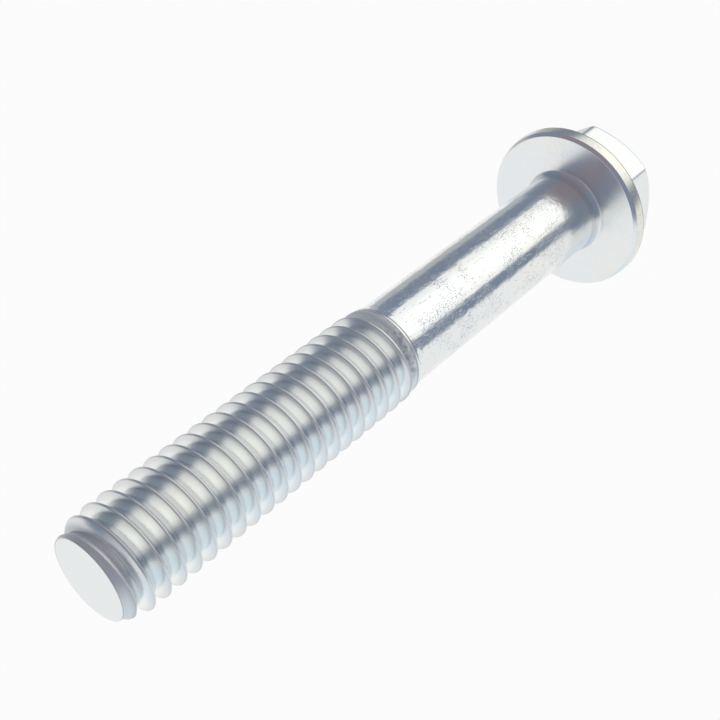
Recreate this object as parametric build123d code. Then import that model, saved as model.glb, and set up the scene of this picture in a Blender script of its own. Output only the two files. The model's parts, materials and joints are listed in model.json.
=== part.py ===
from build123d import *
import os
from math import ceil, radians, sqrt, tan

# Flange bolt, M6 x 1.0 x 40: one piece, cold forged, thread rolled and zinc plated.
# The origin is the centre of the flat top of the head, and +Z runs from there to the threaded end.
# Lengths are in millimetres and angles in degrees.

# Length
bolt_length = 40.0            # bearing face to the threaded end

# Thread, right-hand
thread_dia = 5.9              # over the crests
thread_length = 21.4          # threaded end to the edge of the collar
thread_pitch = 1.0
crest_flat = 0.16             # width of the crest along the axis
root_flat = 0.17              # width of the root along the axis
flank_angle = 30.0            # each flank, from a plane square to the axis
thread_start = 326.7          # angle at which the groove passes the end face
point_length = 0.62           # chamfer at the threaded end, along the axis
point_angle = 45.0            # of that chamfer, from the axis

# Shank: the rolling blank, left plain between the head and the thread
shank_drop = 0.29             # surface of the shank, below the crests
underhead_radius = 0.4        # fillet where the shank meets the bearing face

# Run-out, where the rolled groove fades into the blank
fade_length = 1.1             # over which the root climbs to the surface
crest_fall = 1.4              # over which the crests sink towards the blank
collar_land = 0.3             # plain ring left after the groove has faded
collar_height = 0.13          # that the ring stands above the shank
step_length = 0.45            # over which the ring slopes down to the shank

# Flange
flange_dia = 11.0
rim_thickness = 0.95
rim_draft = 3.0               # the rim narrows towards the bearing face
rim_bevel = 0.2               # between the rim and the bearing face
back_bevel = 0.12             # between the rim and the sloping back
back_slope = 20.0             # back of the flange, rising to the hexagon

# Hexagon
head_height = 4.9             # top of the head to the bearing face
across_flats = 7.8
corner_round = 0.45           # upright edges
top_inset = 0.55              # edge of the flat top, in from the flats
top_chamfer = 40.0            # from the flat top down to the sides

# Heights along the axis and radii that follow from the sizes above
bearing_z = head_height
end_z = bearing_z + bolt_length
rim_back_z = bearing_z - rim_thickness
collar_z = end_z - thread_length
fade_end_z = collar_z + collar_land
fade_start_z = fade_end_z + fade_length
flank_slope = tan(radians(flank_angle))
thread_depth = (thread_pitch - crest_flat - root_flat) / (2 * flank_slope)
flange_radius = flange_dia / 2
crest_radius = thread_dia / 2
root_radius = crest_radius - thread_depth
shank_radius = crest_radius - shank_drop
collar_radius = shank_radius + collar_height
point_radius = crest_radius - point_length * tan(radians(point_angle))


def half_section(points):
    """Face of a turned form, from points given as (radius, height)."""
    return make_face(Polyline(*points, close=True))


def turned(section):
    """Solid turned about Z from a half section."""
    return revolve(Plane.XZ * section, Axis.Z)


def corner_at(section, radius, height):
    """Vertex of a half section that is nearest to a place."""
    return section.vertices().sort_by_distance((radius, height))[0]


def make_blank():
    """Flange, shank and thread cylinder, before the groove is rolled."""
    back_rise = flange_radius * tan(radians(back_slope))
    rim_front_radius = flange_radius - rim_thickness * tan(radians(rim_draft))
    fillet_mid = underhead_radius * (1 - sqrt(0.5))
    section = half_section(
        [
            (0, rim_back_z - back_rise),
            (flange_radius, rim_back_z),
            (rim_front_radius, bearing_z),
            (shank_radius + underhead_radius, bearing_z),
            (shank_radius + fillet_mid, bearing_z + fillet_mid),
            (shank_radius, bearing_z + underhead_radius),
            (shank_radius, collar_z - step_length),
            (collar_radius, collar_z),
            (crest_radius, collar_z + crest_fall),
            (crest_radius, end_z - point_length),
            (point_radius, end_z),
            (0, end_z),
        ]
    )
    section = chamfer(corner_at(section, flange_radius, rim_back_z), back_bevel)
    section = chamfer(corner_at(section, rim_front_radius, bearing_z), rim_bevel)
    return turned(section)


def make_hexagon():
    """Hexagon with rounded corners and a chamfered top, running down into the flange."""
    outline = RegularPolygon(across_flats / 2, 6, major_radius=False)
    outline = fillet(outline.vertices(), corner_round)
    prism = extrude(outline, rim_back_z)
    top_radius = across_flats / 2 - top_inset
    chamfer_rise = (across_flats - top_radius) * tan(radians(top_chamfer))
    top_form = half_section(
        [
            (0, 0),
            (top_radius, 0),
            (across_flats, chamfer_rise),
            (across_flats, chamfer_rise + rim_back_z),
            (0, chamfer_rise + rim_back_z),
        ]
    )
    return prism & turned(top_form)


def helix_run(section, first_z, turns):
    """A right-hand helix from each (radius, height) point of a section, for some turns."""
    return [
        Edge.make_helix(thread_pitch, turns * thread_pitch, radius, center=(0, 0, first_z + height))
        for radius, height in section
    ]


def cap(run, end):
    """Flat face that closes a run of helices at its start, 0, or its end, 1."""
    return make_face(Polyline(*[edge @ end for edge in run], close=True)).face()


def make_groove():
    """Helical groove of the thread, cut past the crests and past the root."""
    overcut = crest_flat / 3
    radii = [root_radius - overcut, root_radius + thread_depth / 2, crest_radius + overcut]
    half_widths = [root_flat / 2 + (radius - root_radius) * flank_slope for radius in radii]
    lower_side = [(radius, -half) for radius, half in zip(radii, half_widths)]
    upper_side = [(radius, half) for radius, half in zip(radii, half_widths)]
    section = lower_side + upper_side[::-1]

    # Runs of a few turns each, since one long helical face is slow to mesh and to cut with.
    run_turns = 4
    run_count = ceil((thread_length + step_length + thread_pitch) / (run_turns * thread_pitch))
    first_z = end_z + thread_pitch - run_count * run_turns * thread_pitch
    runs = [
        helix_run(section, first_z + n * run_turns * thread_pitch, run_turns)
        for n in range(run_count)
    ]
    walls = [
        Face.make_surface_from_curves(run[i - 1], run[i])
        for run in runs
        for i in range(len(section))
    ]
    groove = Solid(Shell(walls + [cap(runs[0], 0), cap(runs[-1], 1)]))
    return groove.rotate(Axis.Z, thread_start)


def make_core():
    """What the groove leaves standing: the root cylinder, and a cone where the groove fades out."""
    climb = (collar_radius - root_radius) / fade_length
    cone_rise = 2 * thread_depth
    clear_z = end_z + 2 * thread_pitch
    return turned(
        half_section(
            [
                (0, clear_z),
                (root_radius, clear_z),
                (root_radius, fade_start_z),
                (root_radius + cone_rise, fade_start_z - cone_rise / climb),
                (root_radius + cone_rise, 0),
                (0, 0),
            ]
        )
    )


def make_flange_bolt():
    """The whole bolt as one solid."""
    blank = make_blank() + make_hexagon()
    return blank - (make_groove() - make_core())


flange_bolt = make_flange_bolt()
flange_bolt.label = "flange_bolt"

os.makedirs("parts", exist_ok=True)
export_step(flange_bolt, "parts/flange_bolt.step")
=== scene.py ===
import json
from math import atan2, ceil, cos, degrees, pi, radians, sin, sqrt, tan

import bmesh
import bpy
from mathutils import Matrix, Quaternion, Vector

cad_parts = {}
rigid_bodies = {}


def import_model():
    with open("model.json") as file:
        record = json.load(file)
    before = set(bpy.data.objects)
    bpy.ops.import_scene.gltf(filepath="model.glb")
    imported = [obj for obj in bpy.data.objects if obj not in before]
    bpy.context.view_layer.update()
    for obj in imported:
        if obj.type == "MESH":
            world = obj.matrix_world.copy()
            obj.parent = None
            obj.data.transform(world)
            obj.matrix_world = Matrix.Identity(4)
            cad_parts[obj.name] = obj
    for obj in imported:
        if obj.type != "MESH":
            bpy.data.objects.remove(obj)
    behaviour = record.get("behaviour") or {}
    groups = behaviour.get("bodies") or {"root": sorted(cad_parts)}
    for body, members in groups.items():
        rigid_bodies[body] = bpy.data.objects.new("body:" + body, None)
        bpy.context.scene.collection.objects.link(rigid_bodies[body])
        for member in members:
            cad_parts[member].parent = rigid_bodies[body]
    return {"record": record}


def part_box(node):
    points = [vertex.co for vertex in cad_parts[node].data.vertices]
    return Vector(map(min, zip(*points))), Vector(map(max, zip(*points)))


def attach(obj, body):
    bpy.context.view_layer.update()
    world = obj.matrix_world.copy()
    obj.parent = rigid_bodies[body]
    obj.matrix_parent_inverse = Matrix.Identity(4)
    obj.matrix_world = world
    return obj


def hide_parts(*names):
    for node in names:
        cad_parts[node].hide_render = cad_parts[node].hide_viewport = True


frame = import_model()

for spare in [thing for thing in bpy.data.objects if thing.name in ("Cube", "Light", "Camera")]:
    bpy.data.objects.remove(spare)

# An M6 flange bolt, standing on its head, in metres. +Z runs from the head to the threaded end.
mm = 0.001
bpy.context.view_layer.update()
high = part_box("flange_bolt")[1]
mounts = {mount["name"]: mount for mount in frame["record"]["mounts"]}

# Thread, right-hand
end_z = high.z
pitch = 1.0 * mm
crest_radius = mounts["thread"]["dims"]["r_mm"] * mm
thread_length = mounts["thread"]["dims"]["length_mm"] * mm
crest_flat = 0.1 * mm
crest_edge_round = 0.045 * mm
root_flat = 0.19 * mm
flank_slope = tan(radians(30))
flank_margin = 0.06 * mm             # depth of a strip beside each edge, so that the rest shades flat
root_radius = crest_radius - (pitch - crest_flat - root_flat) / (2 * flank_slope)
groove_angle = radians(304)          # where the groove passes the end face

# Point
point_radius = 2.43 * mm
point_slope = 0.42
point_blend = 0.08 * mm
point_edge_round = 0.05 * mm
stub_slope = 0.3                     # of the blank's own point, under the first turn of the groove
stub_blend = 0.03 * mm

# Run-out, where the root climbs to the collar and the crests sink to it
collar_z = end_z - thread_length
collar_land = 0.45 * mm
fade_end_z = collar_z + collar_land
fade_length = 0.3 * mm
fade_blend = 0.05 * mm
crest_fall = 1.15 * mm
crest_blend = 0.03 * mm
thread_foot_z = collar_z + 0.12 * mm  # the thread's mesh ends here, and the turned shank's begins

# Collar, with the sharp ridge that the rolling dies leave on it
shank_drop = 0.29 * mm
shank_radius = crest_radius - shank_drop
collar_height = 0.13 * mm
collar_radius = shank_radius + collar_height
ridge_height = 0.02 * mm
ridge_width = 0.04 * mm
ridge_round = 0.015 * mm
ridge_foot_round = 0.02 * mm

# Step down to the shank: a steep face, then a long slope
step_length = 0.45 * mm
step_round = 0.6 * mm
step_face = 0.09 * mm
step_face_drop = 0.03 * mm           # from the end of that face down to the shank
step_face_round = 0.05 * mm

# Fillet under the head, which meets the bearing face at a slight angle
bearing_z = mounts["bearing_face"]["pos_m"][2]
underhead_round = 0.62 * mm
underhead_sweep = radians(52)
face_margin = 0.01 * mm              # from the fillet's end to the first ring on the bearing face
face_ring_width = 0.15 * mm
face_radius = shank_radius + 0.8 * mm  # inner edge of the turned flange, joined to those rings

# Flange
flange_radius = high.x
rim_thickness = 0.95 * mm
rim_back_z = bearing_z - rim_thickness
rim_draft = tan(radians(3))
rim_bevel = 0.19 * mm
bevel_face_round = 0.06 * mm         # between the bevel and the bearing face
bevel_rim_round = 0.12 * mm
back_slope = tan(radians(20))
back_round = 0.12 * mm
back_width = 0.36 * mm               # of the back that is turned with the rim

# Hexagon
across_flats = 7.8 * mm
side_distance = across_flats / 2
corner_round = 0.45 * mm
top_inset = 0.55 * mm
top_radius = side_distance - top_inset
top_slope = tan(radians(40))
top_round = 0.5 * mm                 # between the sides and the chamfer
top_edge_round = 0.3 * mm            # between the chamfer and the flat top
base_fillet = 0.3 * mm
base_width = 0.6 * mm

# Camera, round the standing bolt
camera_azimuth = radians(14.9)
camera_distance = 54.76 * mm         # from the axis
camera_height = 63.02 * mm
camera_lens = 59.3
camera_roll = pi + 0.9131            # so that the standing bolt lies across the picture
aim_aside = 0.402 * mm
aim_height = 25.04 * mm

# Studio, whose azimuths start at the camera's
room_azimuth = radians(26.5)
room_tilt = radians(9)
room_edge = 0.07                     # softness of the line between the table and the room

# Fineness of the mesh
turn_steps = 96
head_steps = 144
flat_steps = 16
round_steps = 5
crest_round_steps = 4
point_round_steps = 4
top_round_steps = 6
underhead_steps = 9
spare_turns = 2                      # of the thread, cut away at its ends
weld = 0.001 * mm                    # distance at which vertices are one
sliver = 0.02 * mm                   # shortest edge left along a cut
tolerance = 0.002 * mm
ring_level = 0.01 * mm               # how far a ring's vertices may lie from the height looked at
ring_reach = 0.1 * mm                # and from the radius


def soft_min(a, b, blend):
    """The lesser of two lengths, with the corner between them rounded."""
    return (a + b - sqrt((a - b) ** 2 + blend**2)) / 2


def soft_max(a, b, blend):
    """The greater of two lengths, with the corner between them rounded."""
    return (a + b + sqrt((a - b) ** 2 + blend**2)) / 2


def rounded(corners, steps=round_steps):
    """A path through (x, y, round) corners, with an arc of that radius at each rounded one."""
    path = []
    for index, (x, y, radius) in enumerate(corners):
        here = Vector((x, y))
        if not radius:
            path.append(here)
            continue
        back = (Vector(corners[index - 1][:2]) - here).normalized()
        ahead = (Vector(corners[(index + 1) % len(corners)][:2]) - here).normalized()
        half = back.angle(ahead) / 2
        centre = here + (back + ahead).normalized() * radius / sin(half)
        start = here + back * radius / tan(half) - centre
        turn = (pi - 2 * half) * (1 if back.cross(ahead) < 0 else -1)
        for step in range(steps + 1):
            angle = turn * step / steps
            spoke = Vector((start.x * cos(angle) - start.y * sin(angle),
                            start.x * sin(angle) + start.y * cos(angle)))
            path.append(centre + spoke)
    return path


def spin_path(bm, path, steps, start_angle=0, rise=0):
    """Turns a path of (radius, height) points once round Z, rising by this much at each step."""
    verts = [bm.verts.new((radius, 0, height)) for radius, height in path]
    edges = [bm.edges.new(pair) for pair in zip(verts, verts[1:])]
    if start_angle:
        turned = Quaternion((0, 0, 1), start_angle).to_matrix()
        bmesh.ops.rotate(bm, verts=verts, cent=(0, 0, 0), matrix=turned)
    bmesh.ops.spin(
        bm,
        geom=verts + edges,
        cent=(0, 0, 0),
        axis=(0, 0, 1),
        angle=2 * pi,
        steps=steps,
        dvec=(0, 0, rise),
        use_merge=not rise,
    )


def extrude_ring(bm, ring, place):
    """Extrudes a ring of edges once and moves each new vertex to where place puts it."""
    made = bmesh.ops.extrude_edge_only(bm, edges=ring)["geom"]
    verts = {item for item in made if isinstance(item, bmesh.types.BMVert)}
    for vert in verts:
        vert.co = place(vert)
    edges = [item for item in made if isinstance(item, bmesh.types.BMEdge)]
    return [edge for edge in edges if edge.verts[0] in verts and edge.verts[1] in verts]


def at_radius(vert, radius, height):
    """The place at a radius and height in the vertex's own direction from the axis."""
    flat = Vector((vert.co.x, vert.co.y)).normalized() * radius
    return Vector((flat.x, flat.y, height))


def draw_ring(bm, ring, path):
    """Extrudes a ring of edges through (radius, height) points, the first of which it is at."""
    for radius, height in path[1:]:
        ring = extrude_ring(bm, ring, lambda vert: at_radius(vert, radius, height))
    return ring


def ring_at(bm, height, radius):
    """The ring of open edges at a height, at about a radius."""
    def near(vert):
        off_radius = abs(vert.co.xy.length - radius)
        return off_radius < ring_reach and abs(vert.co.z - height) < ring_level

    return [edge for edge in bm.edges if edge.is_boundary and all(map(near, edge.verts))]


def cut_at(bm, height, keep_above):
    """Cuts the mesh level at a height and throws one side away."""
    bmesh.ops.bisect_plane(
        bm,
        geom=bm.verts[:] + bm.edges[:] + bm.faces[:],
        plane_co=(0, 0, height),
        plane_no=(0, 0, 1),
        clear_inner=keep_above,
        clear_outer=not keep_above,
    )
    cut_verts = [vert for vert in bm.verts if vert.is_boundary and abs(vert.co.z - height) < weld]
    cut_verts.sort(key=lambda vert: atan2(vert.co.y, vert.co.x))
    bmesh.ops.remove_doubles(bm, verts=cut_verts, dist=sliver)


def rolled_radius(radius, height):
    """Radius of the thread surface, bounded by the run-out, the blank and the point."""
    climb = (collar_radius - root_radius) / fade_length
    fade = collar_radius - (height - fade_end_z) * climb
    blank = collar_radius + (height - collar_z) * (crest_radius - collar_radius) / crest_fall
    point = point_radius + (end_z - height) * point_slope
    stub = point_radius - (end_z - height) * stub_slope
    radius = soft_max(radius, min(fade, collar_radius), fade_blend)
    radius = soft_max(radius, stub, stub_blend)
    radius = soft_min(radius, max(blank, collar_radius), crest_blend)
    return soft_min(radius, point, point_blend)


def thread_section():
    """One pitch of the thread, from root to root, as (radius, height) points."""
    half = pitch / 2
    root_edge = half - root_flat / 2
    margin_run = flank_margin * flank_slope
    upper_half = [
        (crest_radius, crest_flat / 2, crest_edge_round),
        (crest_radius - flank_margin, crest_flat / 2 + margin_run, 0),
        (root_radius + flank_margin, root_edge - margin_run, 0),
        (root_radius, root_edge, 0),
        (root_radius, half, 0),
    ]
    lower_half = [(radius, -height, edge_round) for radius, height, edge_round in upper_half]
    return rounded(lower_half[::-1] + [(crest_radius, 0, 0)] + upper_half, crest_round_steps)


def sharpen_roots(bm, rise):
    """Marks the edges that run along the corners of the root, a rise from vertex to vertex, as sharp."""
    def in_root(vert):
        return abs(vert.co.xy.length - root_radius) < tolerance

    for edge in bm.edges:
        first, second = edge.verts
        if in_root(first) and in_root(second) and abs(first.co.z - second.co.z) < rise + tolerance:
            edge.smooth = False


def make_thread(bm):
    """The rolled thread with its point and run-out, open at both ends."""
    rise = pitch / turn_steps
    turns = ceil((end_z - thread_foot_z) / pitch) + spare_turns
    first_z = end_z + pitch / 2 - (turns - 1) * pitch
    path = [(radius, first_z + height) for radius, height in thread_section()]
    spin_path(bm, path, turn_steps, groove_angle, rise)
    first_turn = bm.verts[:] + bm.edges[:] + bm.faces[:]
    for turn in range(1, turns):
        copied = bmesh.ops.duplicate(bm, geom=first_turn)["geom"]
        new_verts = [item for item in copied if isinstance(item, bmesh.types.BMVert)]
        bmesh.ops.translate(bm, verts=new_verts, vec=(0, 0, turn * pitch))
    bmesh.ops.remove_doubles(bm, verts=bm.verts, dist=weld)
    cut_at(bm, end_z - point_edge_round, keep_above=False)
    cut_at(bm, thread_foot_z, keep_above=True)
    sharpen_roots(bm, rise)
    for vert in bm.verts:
        vert.co = at_radius(vert, rolled_radius(vert.co.xy.length, vert.co.z), vert.co.z)


def fill_ring(bm, ring):
    """Closes a ring of edges with one flat face."""
    bmesh.ops.contextual_create(bm, geom=ring)


def make_point(bm):
    """Rounds the rim of the threaded end and closes its flat face."""
    ring = ring_at(bm, end_z - point_edge_round, point_radius)
    for step in range(1, point_round_steps + 1):
        angle = radians(90) * step / point_round_steps
        inward = point_edge_round * (1 - cos(angle)) / 2
        height = end_z - point_edge_round * (1 - sin(angle))
        ring = extrude_ring(
            bm, ring, lambda vert: at_radius(vert, vert.co.xy.length - inward, height)
        )
    fill_ring(bm, ring)


def make_shank(bm):
    """Draws the ring under the run-out down the collar and the shank, out onto the bearing face."""
    ring = ring_at(bm, thread_foot_z, collar_radius)
    path = rounded(
        [
            (collar_radius, thread_foot_z, 0),
            (collar_radius, collar_z + ridge_width, ridge_foot_round),
            (collar_radius + ridge_height, collar_z, ridge_round),
            (shank_radius + step_face_drop, collar_z - step_face, step_face_round),
            (shank_radius, collar_z - step_length, step_round),
            (shank_radius, (collar_z + bearing_z) / 2, 0),
        ]
    )
    for step in range(underhead_steps + 1):
        angle = underhead_sweep * step / underhead_steps
        path.append(
            (
                shank_radius + underhead_round * (1 - cos(angle)),
                bearing_z + underhead_round * (sin(underhead_sweep) - sin(angle)),
            )
        )
    path.append((path[-1][0] + face_margin, bearing_z))
    path.append((path[-1][0] + face_ring_width, bearing_z))
    return draw_ring(bm, ring, path)


def back_z(radius):
    """Height of the sloping back of the flange at a radius."""
    return rim_back_z - (flange_radius - radius) * back_slope


def make_flange(bm):
    """Turns the bearing face, rim and sloping back, and gives their inner rings of edges."""
    front_radius = flange_radius - rim_thickness * rim_draft
    back_radius = flange_radius - back_width
    path = rounded(
        [
            (face_radius, bearing_z, 0),
            (front_radius - rim_bevel, bearing_z, bevel_face_round),
            (front_radius, bearing_z - rim_bevel, bevel_rim_round),
            (flange_radius, rim_back_z, back_round),
            (back_radius, back_z(back_radius), 0),
        ]
    )
    spin_path(bm, path, head_steps)
    return [ring_at(bm, height, radius) for radius, height in (path[0], path[-1])]


def hexagon_outline(bm):
    """A ring of edges round the hexagon's sides, with their flats divided."""
    corner_distance = side_distance / cos(radians(30))
    corners = []
    for number in range(6):
        angle = radians(60 * number)
        corners.append((corner_distance * cos(angle), corner_distance * sin(angle), corner_round))
    corner_steps = head_steps // 6 - flat_steps
    outline = rounded(corners, corner_steps)
    verts = [bm.verts.new((x, y, 0)) for x, y in outline]
    ring = [bm.edges.new(pair) for pair in zip(verts, verts[1:] + verts[:1])]
    flats = [edge for edge in ring if edge.calc_length() > side_distance / 2]
    bmesh.ops.subdivide_edges(bm, edges=flats, cuts=flat_steps - 1)
    return [edge for edge in bm.edges if edge.is_wire]


def hexagon_column(radius):
    """The hexagon's path from the flange to its flat top, where its side is at this radius."""
    foot = radius + base_width
    return rounded(
        [
            (foot, back_z(foot), 0),
            (radius, back_z(radius), base_fillet),
            (radius, (radius - top_radius) * top_slope, top_round),
            (top_radius, 0, top_edge_round),
            (top_radius - top_edge_round, 0, 0),
        ],
        top_round_steps,
    )


def make_hexagon(bm, flange_ring):
    """The hexagon: its base fillet, sides and rounded top, drawn up ring by ring and closed."""
    ring = hexagon_outline(bm)
    side = bm.verts.layers.float.new("side")
    foot_verts = {vert for edge in ring for vert in edge.verts}
    for vert in foot_verts:
        vert[side] = vert.co.xy.length

    columns = {}

    def place(vert, step):
        if vert[side] not in columns:
            columns[vert[side]] = hexagon_column(vert[side])
        return at_radius(vert, *columns[vert[side]][step])

    for vert in foot_verts:
        vert.co = place(vert, 0)
    foot_ring = ring
    for step in range(1, len(hexagon_column(side_distance))):
        ring = extrude_ring(bm, ring, lambda vert: place(vert, step))
    fill_ring(bm, ring)
    bmesh.ops.bridge_loops(bm, edges=flange_ring + foot_ring)


def sharpen_fillet(bm):
    """Marks the ring where the fillet under the head meets the bearing face as sharp."""
    fillet_radius = shank_radius + underhead_round * (1 - cos(underhead_sweep))

    def on_ring(vert):
        off_ring = abs(vert.co.xy.length - fillet_radius)
        return off_ring < tolerance and abs(vert.co.z - bearing_z) < tolerance

    for edge in bm.edges:
        if all(map(on_ring, edge.verts)):
            edge.smooth = False


def make_bolt():
    """The whole bolt as one closed mesh."""
    bm = bmesh.new()
    make_thread(bm)
    make_point(bm)
    shank_ring = make_shank(bm)
    face_ring, back_ring = make_flange(bm)
    bmesh.ops.triangle_fill(bm, edges=shank_ring + face_ring, use_beauty=True, normal=(0, 0, 1))
    make_hexagon(bm, back_ring)
    bmesh.ops.recalc_face_normals(bm, faces=bm.faces)
    for face in bm.faces:
        face.smooth = True
    sharpen_fillet(bm)
    mesh = bpy.data.meshes.new("bolt")
    bm.to_mesh(mesh)
    bm.free()
    bolt = bpy.data.objects.new("bolt", mesh)
    bpy.context.scene.collection.objects.link(bolt)
    weighted = bolt.modifiers.new("even normals", "WEIGHTED_NORMAL")
    weighted.keep_sharp = True
    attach(bolt, "root")
    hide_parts("flange_bolt")
    return bolt


def aim_camera():
    """The camera, rolled so that the standing bolt lies across the picture."""
    camera = bpy.data.objects.new("camera", bpy.data.cameras.new("camera"))
    bpy.context.scene.collection.objects.link(camera)
    camera.data.sensor_width = 36
    camera.data.lens = camera_lens
    camera.data.clip_start = 1 * mm
    away = Vector((cos(camera_azimuth), sin(camera_azimuth), 0))
    spot = away * camera_distance + Vector((0, 0, camera_height))
    aim = away.cross((0, 0, -1)) * aim_aside + Vector((0, 0, aim_height))
    level = (aim - spot).to_track_quat("-Z", "Y")
    camera.location = spot
    camera.rotation_mode = "QUATERNION"
    camera.rotation_quaternion = level @ Quaternion((0, 0, 1), camera_roll)
    bpy.context.scene.camera = camera


class Value:
    """A value that varies over a surface. Sums on numbers add the nodes that work them out."""

    def __init__(self, tree, socket):
        self.tree = tree
        self.socket = socket

    def __add__(self, other):
        return self.tree.maths("ADD", self, other)

    def __radd__(self, other):
        return self.tree.maths("ADD", other, self)

    def __sub__(self, other):
        return self.tree.maths("SUBTRACT", self, other)

    def __rsub__(self, other):
        return self.tree.maths("SUBTRACT", other, self)

    def __mul__(self, other):
        return self.tree.maths("MULTIPLY", self, other)

    def __rmul__(self, other):
        return self.tree.maths("MULTIPLY", other, self)

    def rise(self, start, end):
        """0 up to the start, 1 from the end, and a soft step between them."""
        return self.tree.add(
            "ShaderNodeMapRange",
            {"interpolation_type": "SMOOTHSTEP"},
            {"Value": self, "From Min": start, "From Max": end},
        )

    def band(self, start, end, blur):
        """1 between the start and the end, with soft sides this wide."""
        low_side = self.rise(start - blur / 2, start + blur / 2)
        high_side = self.rise(end - blur / 2, end + blur / 2)
        return low_side * (1 - high_side)


class Tree:
    """The nodes of one material or of the world."""

    def __init__(self, owner):
        owner.use_nodes = True
        self.nodes = owner.node_tree.nodes
        self.links = owner.node_tree.links
        self.nodes.clear()

    def add(self, kind, settings=None, values=None, output=None):
        """Adds a node: its settings first, then its sockets' values or links. Gives one output."""
        node = self.nodes.new(kind)
        for name, setting in (settings or {}).items():
            setattr(node, name, setting)
        shown = [socket for socket in node.inputs if socket.enabled]
        for name, value in (values or {}).items():
            named = [socket for number, socket in enumerate(shown) if name in (number, socket.name)]
            if isinstance(value, Value):
                self.links.new(value.socket, named[0])
            else:
                named[0].default_value = value
        given = [socket for socket in node.outputs if socket.enabled and output in (None, socket.name)]
        return Value(self, given[0]) if given else node

    def maths(self, operation, *values):
        """The outcome of a Math node on one or more numbers."""
        return self.add("ShaderNodeMath", {"operation": operation}, dict(enumerate(values)))

    def split(self, vector):
        """The x, y and z of a vector."""
        parts = self.add("ShaderNodeSeparateXYZ", values={"Vector": vector}).socket.node.outputs
        return [Value(self, part) for part in parts]

    def heading(self, x, y):
        """The angle of a direction round Z, in degrees from X."""
        return self.maths("ARCTAN2", y, x) * degrees(1)

    def noise(self, place, scale, detail):
        """Soft noise, about 0.5 on average."""
        values = {"Vector": place, "Scale": scale, "Detail": detail}
        return self.add("ShaderNodeTexNoise", values=values)

    def scatter(self, place, scale, size, bare):
        """Small round spots in cells of a scale, with this share of the cells left bare."""
        cell = self.add("ShaderNodeTexVoronoi", values={"Vector": place, "Scale": scale}).socket.node
        distance, tone = Value(self, cell.outputs["Distance"]), Value(self, cell.outputs["Color"])
        return (1 - distance.rise(size * 0.4, size)) * self.split(tone)[0].rise(bare, bare + 0.05)

    def mix(self, factor, colour, other):
        """One colour that turns into another."""
        return self.add(
            "ShaderNodeMix", {"data_type": "RGBA"}, {"Factor": factor, "A": colour, "B": other}
        )


def paint(red, green, blue):
    """A colour from the three parts that a paint chart gives it, 0 to 255."""
    def plain(part):
        part = part / 255
        return part / 12.92 if part <= 0.04045 else ((part + 0.055) / 1.055) ** 2.4

    return (plain(red), plain(green), plain(blue), 1)


# What the metal mirrors
white = (1, 1, 1, 1)
table_white = paint(248, 249, 249)
table_cool = (0.76, 0.89, 0.98, 1)
table_blue = (0.86, 0.95, 1.03, 1)
table_dull = paint(182, 186, 190)
room_dark = paint(129, 141, 159)
room_warm = paint(145, 136, 144)
room_ceiling = paint(214, 215, 220)
lamp_edge = (1.0, 1.01, 0.99, 1)
lamp_middle = (1.34, 1.35, 1.29, 1)

# Floor
floor_size = 0.5                     # from its middle to its sides
floor_paper = (0.94, 0.94, 0.94, 1)
floor_white = paint(255, 254, 254)
floor_glow = 0.95                    # share of that white in what the camera sees of the floor

# Plating, with the shade and light painted on it
zinc_cold = paint(236, 238, 240)
zinc_warm = paint(238, 238, 235)
# Painted light: a brighter colour for the thread, which lifts its grooves
thread_painted_light = paint(247, 248, 246)
zinc_hexagon = paint(248, 250, 251)
zinc_end_face = paint(228, 230, 232)
zinc_rim = paint(232, 228, 214)
# Painted shade on the thread: its roots, a band of each flank, its crests, and a line on the crests' side
# towards the head
root_painted_shade = paint(166, 168, 172)
flank_painted_shade = paint(176, 178, 182)
crest_painted_shade = paint(186, 184, 187)
head_side_painted_shade = paint(110, 104, 110)
# Painted shade on the first turn of the thread and along the edge of the end face
first_turn_painted_shade = paint(168, 165, 176)
end_edge_painted_shade = paint(170, 162, 172)
# Painted shade in the folds of the run-out and in lines along the collar's lip
fold_painted_shade = paint(150, 152, 160)
lip_painted_shade = paint(105, 102, 106)
# Painted shade in the fillet under the head
fillet_painted_shade = paint(168, 178, 188)
# Painted shade along the back edge of the rim
back_edge_painted_shade = paint(92, 84, 78)
dull_marks = paint(150, 143, 136)


def table_side(tree, azimuth, elevation):
    """The table's side of the studio: white, with a cool part, a bluer one and a duller one."""
    cool = elevation.band(-33, 8, 12) * azimuth.band(-135, -66, 24)
    blue = elevation.band(18, 60, 16) * azimuth.band(-150, -112, 16)
    dull = azimuth.band(100, 136, 10) * elevation.band(-90, 12, 30)
    colour = tree.mix(cool, table_white, table_cool)
    colour = tree.mix(blue, colour, table_blue)
    return tree.mix(dull, colour, table_dull)


def room_side(tree, azimuth, elevation):
    """The room's side: dark and partly warm, with a paler ceiling and a lamp that is strongest low down."""
    warm = azimuth.band(0, 80, 30) * elevation.band(5, 62, 30)
    ceiling = elevation.rise(58, 88)
    lamp = azimuth.band(-27, 66, 14) * elevation.band(-78, -14, 14)
    strong = azimuth.band(-10, 38, 44) * (1 - elevation.rise(-40, -24))
    colour = tree.mix(warm, room_dark, room_warm)
    colour = tree.mix(ceiling, colour, room_ceiling)
    return tree.mix(lamp, colour, tree.mix(strong, lamp_edge, lamp_middle))


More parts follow.
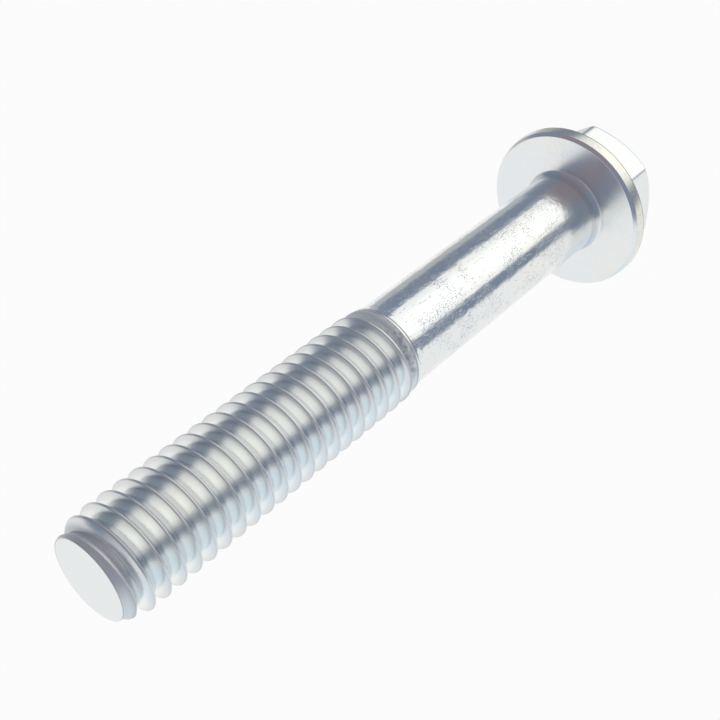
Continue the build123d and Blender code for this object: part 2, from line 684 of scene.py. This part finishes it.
def light_studio():
    """Soft light from all round, whose table side and room side the metal mirrors."""
    world = bpy.data.worlds.new("studio")
    tree = Tree(world)
    around = tree.add("ShaderNodeTexCoord", output="Generated")
    turned = tree.add(
        "ShaderNodeVectorRotate",
        {"rotation_type": "Z_AXIS"},
        {"Vector": around, "Angle": -camera_azimuth},
    )
    x, y, z = tree.split(turned)
    azimuth = tree.heading(x, y)
    elevation = tree.maths("ARCSINE", z) * degrees(1)
    forward = z * sin(room_tilt) + x * (cos(room_tilt) * cos(room_azimuth))
    toward_room = forward + y * (cos(room_tilt) * sin(room_azimuth))
    colour = tree.mix(
        toward_room.rise(-room_edge, room_edge),
        table_side(tree, azimuth, elevation),
        room_side(tree, azimuth, elevation),
    )
    seen = tree.add("ShaderNodeLightPath", output="Is Camera Ray")
    colour = tree.mix(seen, colour, white)
    background = tree.add("ShaderNodeBackground", values={"Color": colour})
    tree.add("ShaderNodeOutputWorld", values={"Surface": background})
    bpy.context.scene.world = world
    bpy.context.scene.view_settings.view_transform = "Standard"


def lay_floor():
    """A plain pale floor that the metal doesn't mirror."""
    bm = bmesh.new()
    bmesh.ops.create_grid(bm, x_segments=1, y_segments=1, size=floor_size)
    mesh = bpy.data.meshes.new("floor")
    bm.to_mesh(mesh)
    bm.free()
    floor = bpy.data.objects.new("floor", mesh)
    bpy.context.scene.collection.objects.link(floor)
    floor.visible_glossy = False
    material = bpy.data.materials.new("pale_floor")
    tree = Tree(material)
    paper = tree.add("ShaderNodeBsdfDiffuse", values={"Color": floor_paper})
    glow = tree.add("ShaderNodeEmission", values={"Color": floor_white})
    seen = tree.add("ShaderNodeLightPath", output="Is Camera Ray")
    surface = tree.add("ShaderNodeMixShader", values={0: seen * floor_glow, 1: paper, 2: glow})
    tree.add("ShaderNodeOutputMaterial", values={"Surface": surface})
    mesh.materials.append(material)


class Plating:
    """The zinc's colour with its painted shade and light, roughness and relief, built up by place on the
    bolt, in millimetres.
    """

    end = end_z / mm
    collar = collar_z / mm
    bearing = bearing_z / mm
    rim_back = rim_back_z / mm
    rim = flange_radius / mm
    point = point_radius / mm

    def __init__(self, tree):
        """Glossy zinc in two shades, more satin on the rolled thread and on the head."""
        self.tree = tree
        place = tree.add("ShaderNodeTexCoord", output="Object")
        self.place = tree.add(
            "ShaderNodeVectorMath", {"operation": "SCALE"}, {"Vector": place, "Scale": 1 / mm}
        )
        x, y, self.z = tree.split(self.place)
        self.radius = tree.maths("SQRT", x * x + y * y)
        self.angle = tree.heading(x, y)
        self.grain = tree.noise(self.place, scale=6.0, detail=3.0)
        film = tree.noise(self.place, scale=0.22, detail=2.0)
        self.colour = tree.mix(film.rise(0.35, 0.65), zinc_cold, zinc_warm)
        rolled = self.z.rise(self.collar - 0.05, self.collar + 0.05)
        hexagon = 1 - self.z.rise(self.rim_back - 0.2, self.rim_back)
        self.head = 1 - self.z.rise(self.bearing + 0.5, self.bearing + 0.9)
        # Painted light: the thread is made brighter, to lift its grooves
        self.tint(rolled * 0.8, thread_painted_light)
        self.tint(hexagon * 0.4, zinc_hexagon)
        self.roughness = 0.08 + 0.12 * rolled + 0.12 * self.head + 0.1 * hexagon + 0.06 * self.grain
        self.relief = 0.0012 * self.grain

    def tint(self, mask, colour):
        """Turns the colour into another one as far as the mask says."""
        self.colour = self.tree.mix(mask, self.colour, colour)

    def roughen(self, amount):
        """Adds to the roughness."""
        self.roughness = self.roughness + amount

    def finish_thread(self):
        """The rolled thread: satin crests, and painted shade on the roots, on a band of each flank, on the
        crests and in a line on their side towards the head.
        """
        turn = self.z - self.end - (self.angle - degrees(groove_angle)) * (1 / 360)
        across = self.tree.maths("FRACT", turn) - 0.5
        full = self.z.band(self.collar + 0.8, self.end - 0.5, 0.4)
        root = (1 - across.band(-0.41, 0.41, 0.05)) * full
        flank = across.rise(0.03, 0.07) * (1 - across.rise(0.1, 0.34)) * full
        crest = across.band(-0.1, 0.08, 0.03) * full
        head_side_shade = across.band(-0.13, -0.075, 0.02) * full
        # Painted shade: darker roots, flank band and crests, and a dark line on each crest's side towards
        # the head
        self.tint(root * 0.4, root_painted_shade)
        self.tint(flank * 0.36, flank_painted_shade)
        self.tint(crest * 0.3, crest_painted_shade)
        self.tint(head_side_shade * 0.45, head_side_painted_shade)
        self.roughen(0.14 * crest)
        self.roughen(0.05 * root)

    def finish_end(self):
        """The threaded end: painted shade on the first turn, a flat face, and painted shade along its edge.
        """
        face = self.z.rise(self.end - 0.02, self.end - 0.01)
        first_turn = self.z.rise(self.end - 1.0, self.end - 0.75) * (1 - face)
        outer = self.radius.rise(self.point - 0.1, self.point - 0.04)
        edge = outer * self.z.rise(self.end - 0.06, self.end - 0.03)
        # Painted shade: the first turn and the edge of the end face are darkened
        self.tint(first_turn * 0.25, first_turn_painted_shade)
        self.tint(face * 0.6, zinc_end_face)
        self.tint(edge * 0.5, end_edge_painted_shade)
        self.roughen(0.36 * first_turn)

    def finish_collar(self):
        """The collar and the run-out: satin, folded on one side with painted shade in the folds, and
        painted shade lines along a bright lip.
        """
        satin = self.z.band(self.collar + 0.15, self.collar + 1.0, 0.2)
        folded = self.z.band(self.collar + 0.25, self.collar + 0.75, 0.15) * self.angle.band(-35, 30, 20)
        folds = self.tree.noise(self.place, scale=3.2, detail=3.0).rise(0.48, 0.6) * folded
        below_lip = self.z.band(self.collar - 0.14, self.collar - 0.04, 0.03)
        above_lip = self.z.band(self.collar + 0.12, self.collar + 0.25, 0.05)
        # Painted shade: darker in the folds' hollows, and in a line on each side of the lip
        self.tint(folds * 0.35, fold_painted_shade)
        self.tint((below_lip + above_lip * 0.6) * 0.7, lip_painted_shade)
        self.roughen(0.45 * satin)
        self.relief = self.relief - 0.02 * folds

    def finish_rim(self):
        """The rim of the flange: yellowish in patches, with painted shade along the edge at its back."""
        outer = self.radius.rise(self.rim - 0.3, self.rim - 0.2)
        back_edge = self.z.band(self.rim_back - 0.1, self.rim_back + 0.1, 0.04) * outer
        rim = self.z.band(self.rim_back + 0.1, self.bearing - 0.2, 0.05) * outer
        stains = self.grain.rise(0.35, 0.6)
        # Painted shade: a dark line along the rim's back edge
        self.tint(back_edge * 0.8, back_edge_painted_shade)
        self.tint(rim * stains, zinc_rim)

    def finish_shank(self):
        """The drawn shank: wavy, with specks, dots and short scratches that thin out near the head."""
        noise = self.tree.noise
        near_head = 1 - self.z.rise(self.bearing + 1.5, self.bearing + 6)
        fillet = self.z.band(self.bearing + 0.05, self.bearing + 0.7, 0.1)
        self.roughen(0.1 * near_head * (1 - self.head))
        # Painted shade: the fillet under the head is darkened
        self.tint(fillet * 0.25, fillet_painted_shade)

        shank = self.z.band(self.bearing + 0.3, self.collar - 0.1, 0.4)
        drawn = self.tree.add(
            "ShaderNodeVectorMath", {"operation": "MULTIPLY"}, {0: self.place, 1: (1.0, 1.0, 0.22)}
        )
        patches = noise(self.place, scale=0.6, detail=3.0).rise(0.44, 0.6)
        specks = noise(self.place, scale=14.0, detail=3.0).rise(0.57, 0.66) * patches
        scratches = noise(drawn, scale=10.0, detail=1.0).rise(0.66, 0.72)
        dots = self.tree.scatter(self.place, scale=3.0, size=0.22, bare=0.75)
        marks = specks + scratches * 0.5 + dots * 0.5
        marks = marks * (shank * (1 - 0.6 * near_head) + 0.2 * self.head)
        waves = noise(self.place, scale=1.3, detail=3.0) * 0.02
        waves = waves + noise(drawn, scale=5.0, detail=2.0) * 0.006
        self.tint(marks * 0.6, dull_marks)
        self.relief = self.relief - 0.009 * marks + waves * shank


def zinc_plate():
    """Bright zinc plating on steel."""
    material = bpy.data.materials.new("zinc_plate")
    tree = Tree(material)
    zinc = Plating(tree)
    zinc.finish_thread()
    zinc.finish_end()
    zinc.finish_collar()
    zinc.finish_rim()
    zinc.finish_shank()
    bump = tree.add("ShaderNodeBump", values={"Strength": 1.0, "Distance": mm, "Height": zinc.relief})
    metal = tree.add(
        "ShaderNodeBsdfPrincipled",
        values={
            "Base Color": zinc.colour,
            "Metallic": 1.0,
            "Roughness": zinc.roughness,
            "Normal": bump,
        },
    )
    tree.add("ShaderNodeOutputMaterial", values={"Surface": metal})
    return material


bolt = make_bolt()
bolt.data.materials.append(zinc_plate())
aim_camera()
light_studio()
lay_floor()
